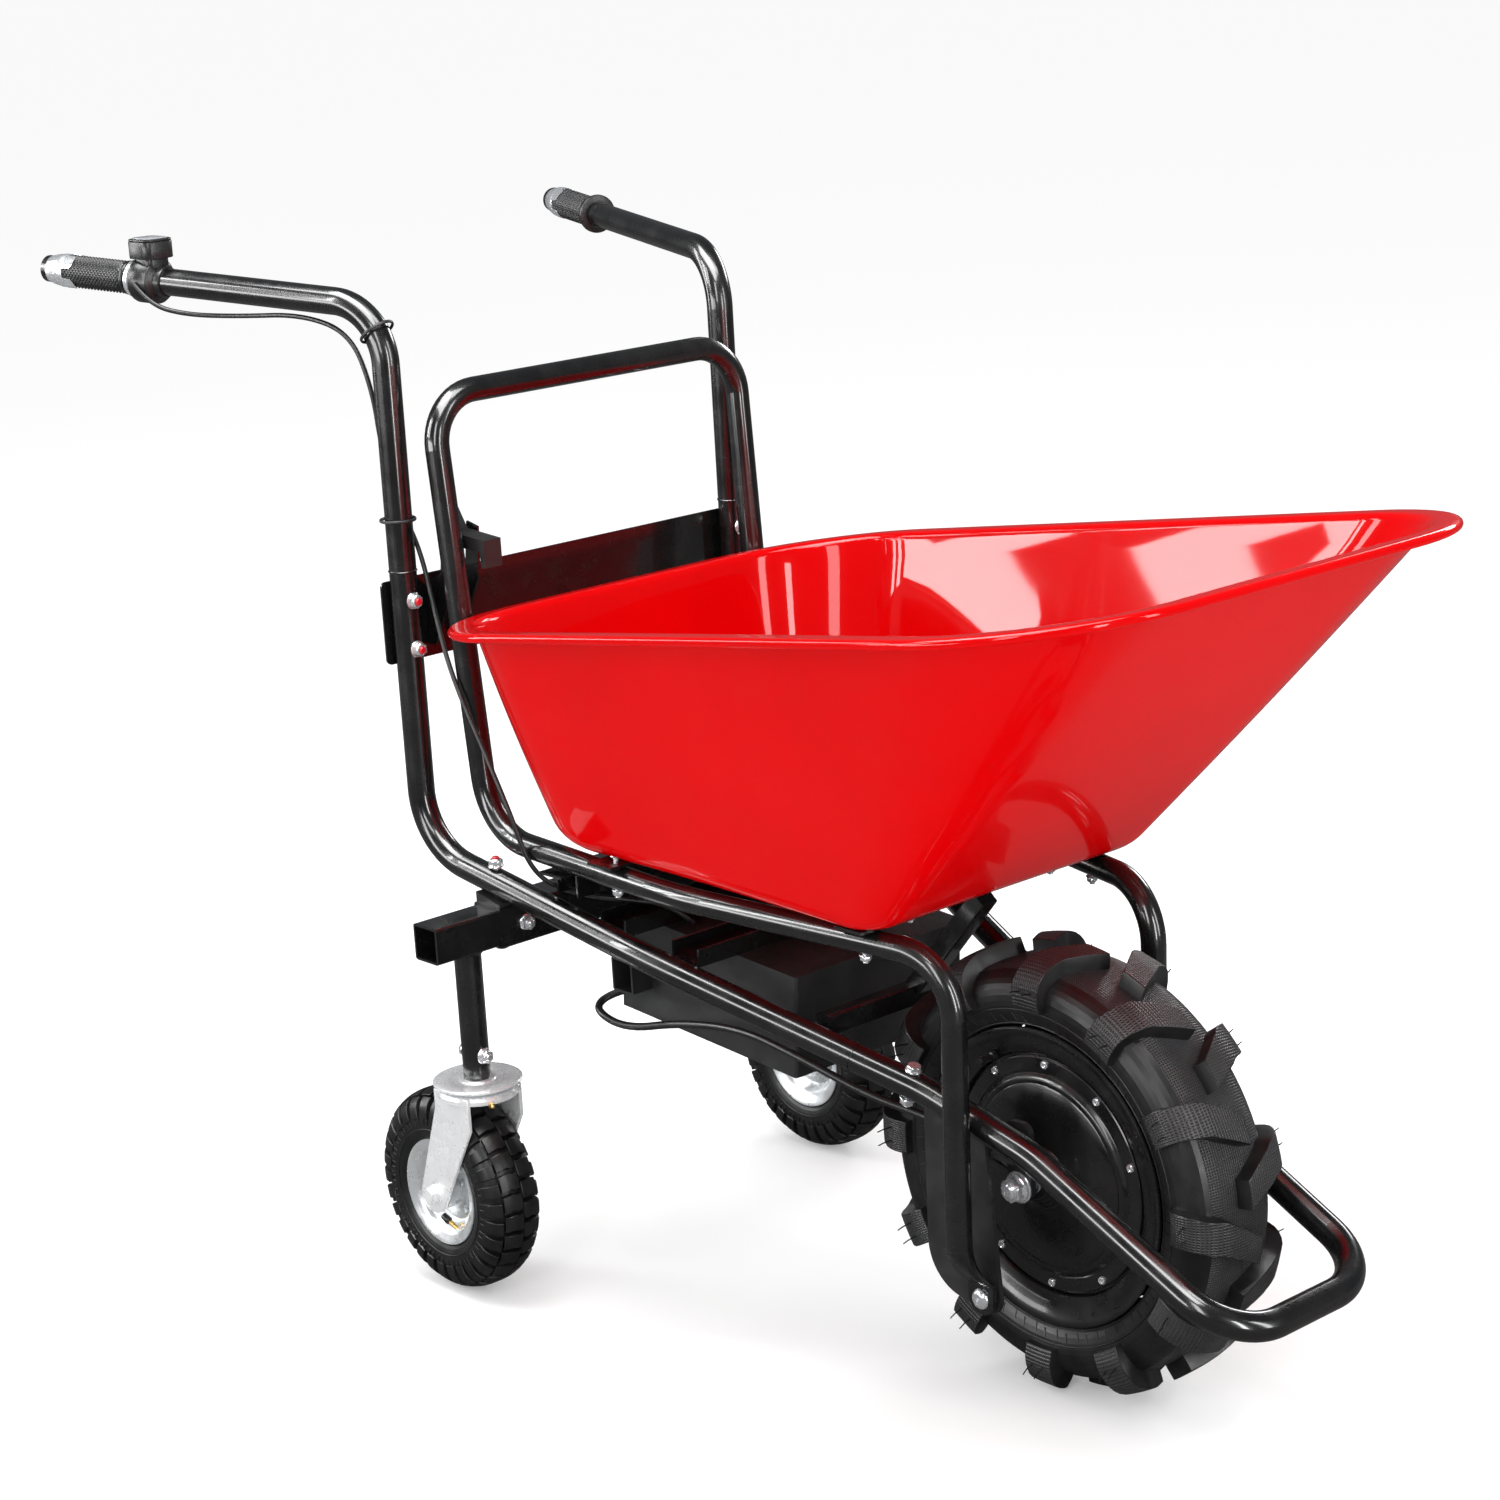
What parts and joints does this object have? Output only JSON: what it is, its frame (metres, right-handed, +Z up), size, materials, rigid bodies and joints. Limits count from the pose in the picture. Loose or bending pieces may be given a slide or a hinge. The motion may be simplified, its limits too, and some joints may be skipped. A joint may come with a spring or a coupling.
{
  "type": "power wheelbarrow",
  "caption": "Electric wheelbarrow: hub-motor drive wheel in front, swivel casters behind, tube chassis with twist-throttle handlebars and a pressed tray that tips forward.",
  "frame": {"origin": "on the ground, under the middle of the whole machine", "axes": "+X forward, towards the drive wheel; +Y to the driver's left; +Z up"},
  "size_m": [1.4215, 0.7168, 1.0803],
  "materials": {
    "frame_paint": "gloss",
    "plate_paint": "satin",
    "tray_paint": "gloss",
    "box_paint": "satin",
    "hub_paint": "gloss",
    "zinc": "zinc plated",
    "caster_zinc": "zinc plated, dull",
    "caster_paint": "satin",
    "drive_rubber": "matte",
    "caster_rubber": "matte",
    "grip_rubber": "matte",
    "end_cap": "turned",
    "black_plastic": "matte",
    "gauge_plastic": "gloss",
    "cable_jacket": "satin",
    "cell_wrap": "satin",
    "controller_case": "cast",
    "core": "laminated"
  },
  "bodies": {
    "chassis": {"frame_tube_left": "frame_paint", "frame_tube_right": "frame_paint", "bumper_loop": "frame_paint", "frame_spigots": "zinc", "handlebar_left": "frame_paint", "handlebar_right": "frame_paint", "bar_ends": "end_cap", "grip_left": "grip_rubber", "grip_collar_left": "grip_rubber", "throttle_housing": "black_plastic", "battery_gauge": "black_plastic", "gauge_window": "gauge_plastic", "back_panel": "frame_paint", "latch_bracket": "frame_paint", "latch_pin": "zinc", "chassis_bolts": "zinc", "chassis_nuts": "zinc", "crossbar_sleeve": "frame_paint", "caster_arms": "frame_paint", "saddle_blocks": "plate_paint", "pivot_plates": "plate_paint", "pivot_bolts": "zinc", "axle_dropouts": "plate_paint", "axle": "zinc", "axle_nuts": "zinc", "motor_stator": "core", "motor_bearings": "zinc", "battery_box": "box_paint", "box_lid": "box_paint", "battery_pack": "cell_wrap", "motor_controller": "controller_case", "box_channels": "frame_paint", "box_sockets": "plate_paint", "rail_rest": "frame_paint", "swivel_plates": "caster_zinc", "tray_prop": "frame_paint", "throttle_cable": "cable_jacket", "motor_cable": "cable_jacket"},
    "drive_wheel": {"hub_rim": "hub_paint", "magnet_ring": "zinc", "hub_covers": "hub_paint", "cover_screws": "zinc", "drive_tyre": "drive_rubber", "drive_valve": "drive_rubber"},
    "tray_body": {"tray_frame": "frame_paint", "tray_straps": "frame_paint", "tray": "tray_paint", "tray_bolts": "zinc", "tray_nuts": "zinc"},
    "caster_swivel_right": {"caster_fork_right": "caster_zinc", "caster_axle_right": "caster_zinc"},
    "caster_swivel_left": {"caster_fork_left": "caster_zinc", "caster_axle_left": "caster_zinc"},
    "caster_wheel_right": {"caster_rim_right": "caster_paint", "caster_tyre_right": "caster_rubber"},
    "caster_wheel_left": {"caster_rim_left": "caster_paint", "caster_tyre_left": "caster_rubber"},
    "throttle": {"throttle_grip": "grip_rubber"},
    "latch": {"latch_hook": "zinc"}
  },
  "joints": [
    {"name": "tray_tip", "type": "hinge", "parent": "chassis", "child": "tray_body", "pos_m": [0.39995, 0, 0.114], "axis": [0, 1, 0], "range_deg": [0, 70]},
    {"name": "drive_spin", "type": "hinge", "parent": "chassis", "child": "drive_wheel", "pos_m": [0.41995, 0, 0.22], "axis": [0, 1, 0], "continuous": true},
    {"name": "caster_turn_right", "type": "hinge", "parent": "chassis", "child": "caster_swivel_right", "pos_m": [-0.17205, -0.256, 0.231], "axis": [0, 0, 1], "continuous": true},
    {"name": "caster_roll_right", "type": "hinge", "parent": "caster_swivel_right", "child": "caster_wheel_right", "pos_m": [-0.21705, -0.256, 0.108], "axis": [0, 1, 0], "continuous": true},
    {"name": "caster_turn_left", "type": "hinge", "parent": "chassis", "child": "caster_swivel_left", "pos_m": [-0.17205, 0.256, 0.231], "axis": [0, 0, 1], "continuous": true},
    {"name": "caster_roll_left", "type": "hinge", "parent": "caster_swivel_left", "child": "caster_wheel_left", "pos_m": [-0.21705, 0.256, 0.108], "axis": [0, 1, 0], "continuous": true},
    {"name": "throttle_twist", "type": "hinge", "parent": "chassis", "child": "throttle", "pos_m": [-0.70205, -0.342, 1.046], "axis": [-0.9604, -0.2699, 0.0697], "range_deg": [0, 70], "stiffness_Nm_per_rad": 0.25, "springref_deg": -17.19},
    {"name": "latch_lift", "type": "hinge", "parent": "chassis", "child": "latch", "pos_m": [-0.24405, -0.17, 0.776], "axis": [0, 1, 0], "range_deg": [-50, 0], "stiffness_Nm_per_rad": 0.05, "springref_deg": 34.38}
  ]
}
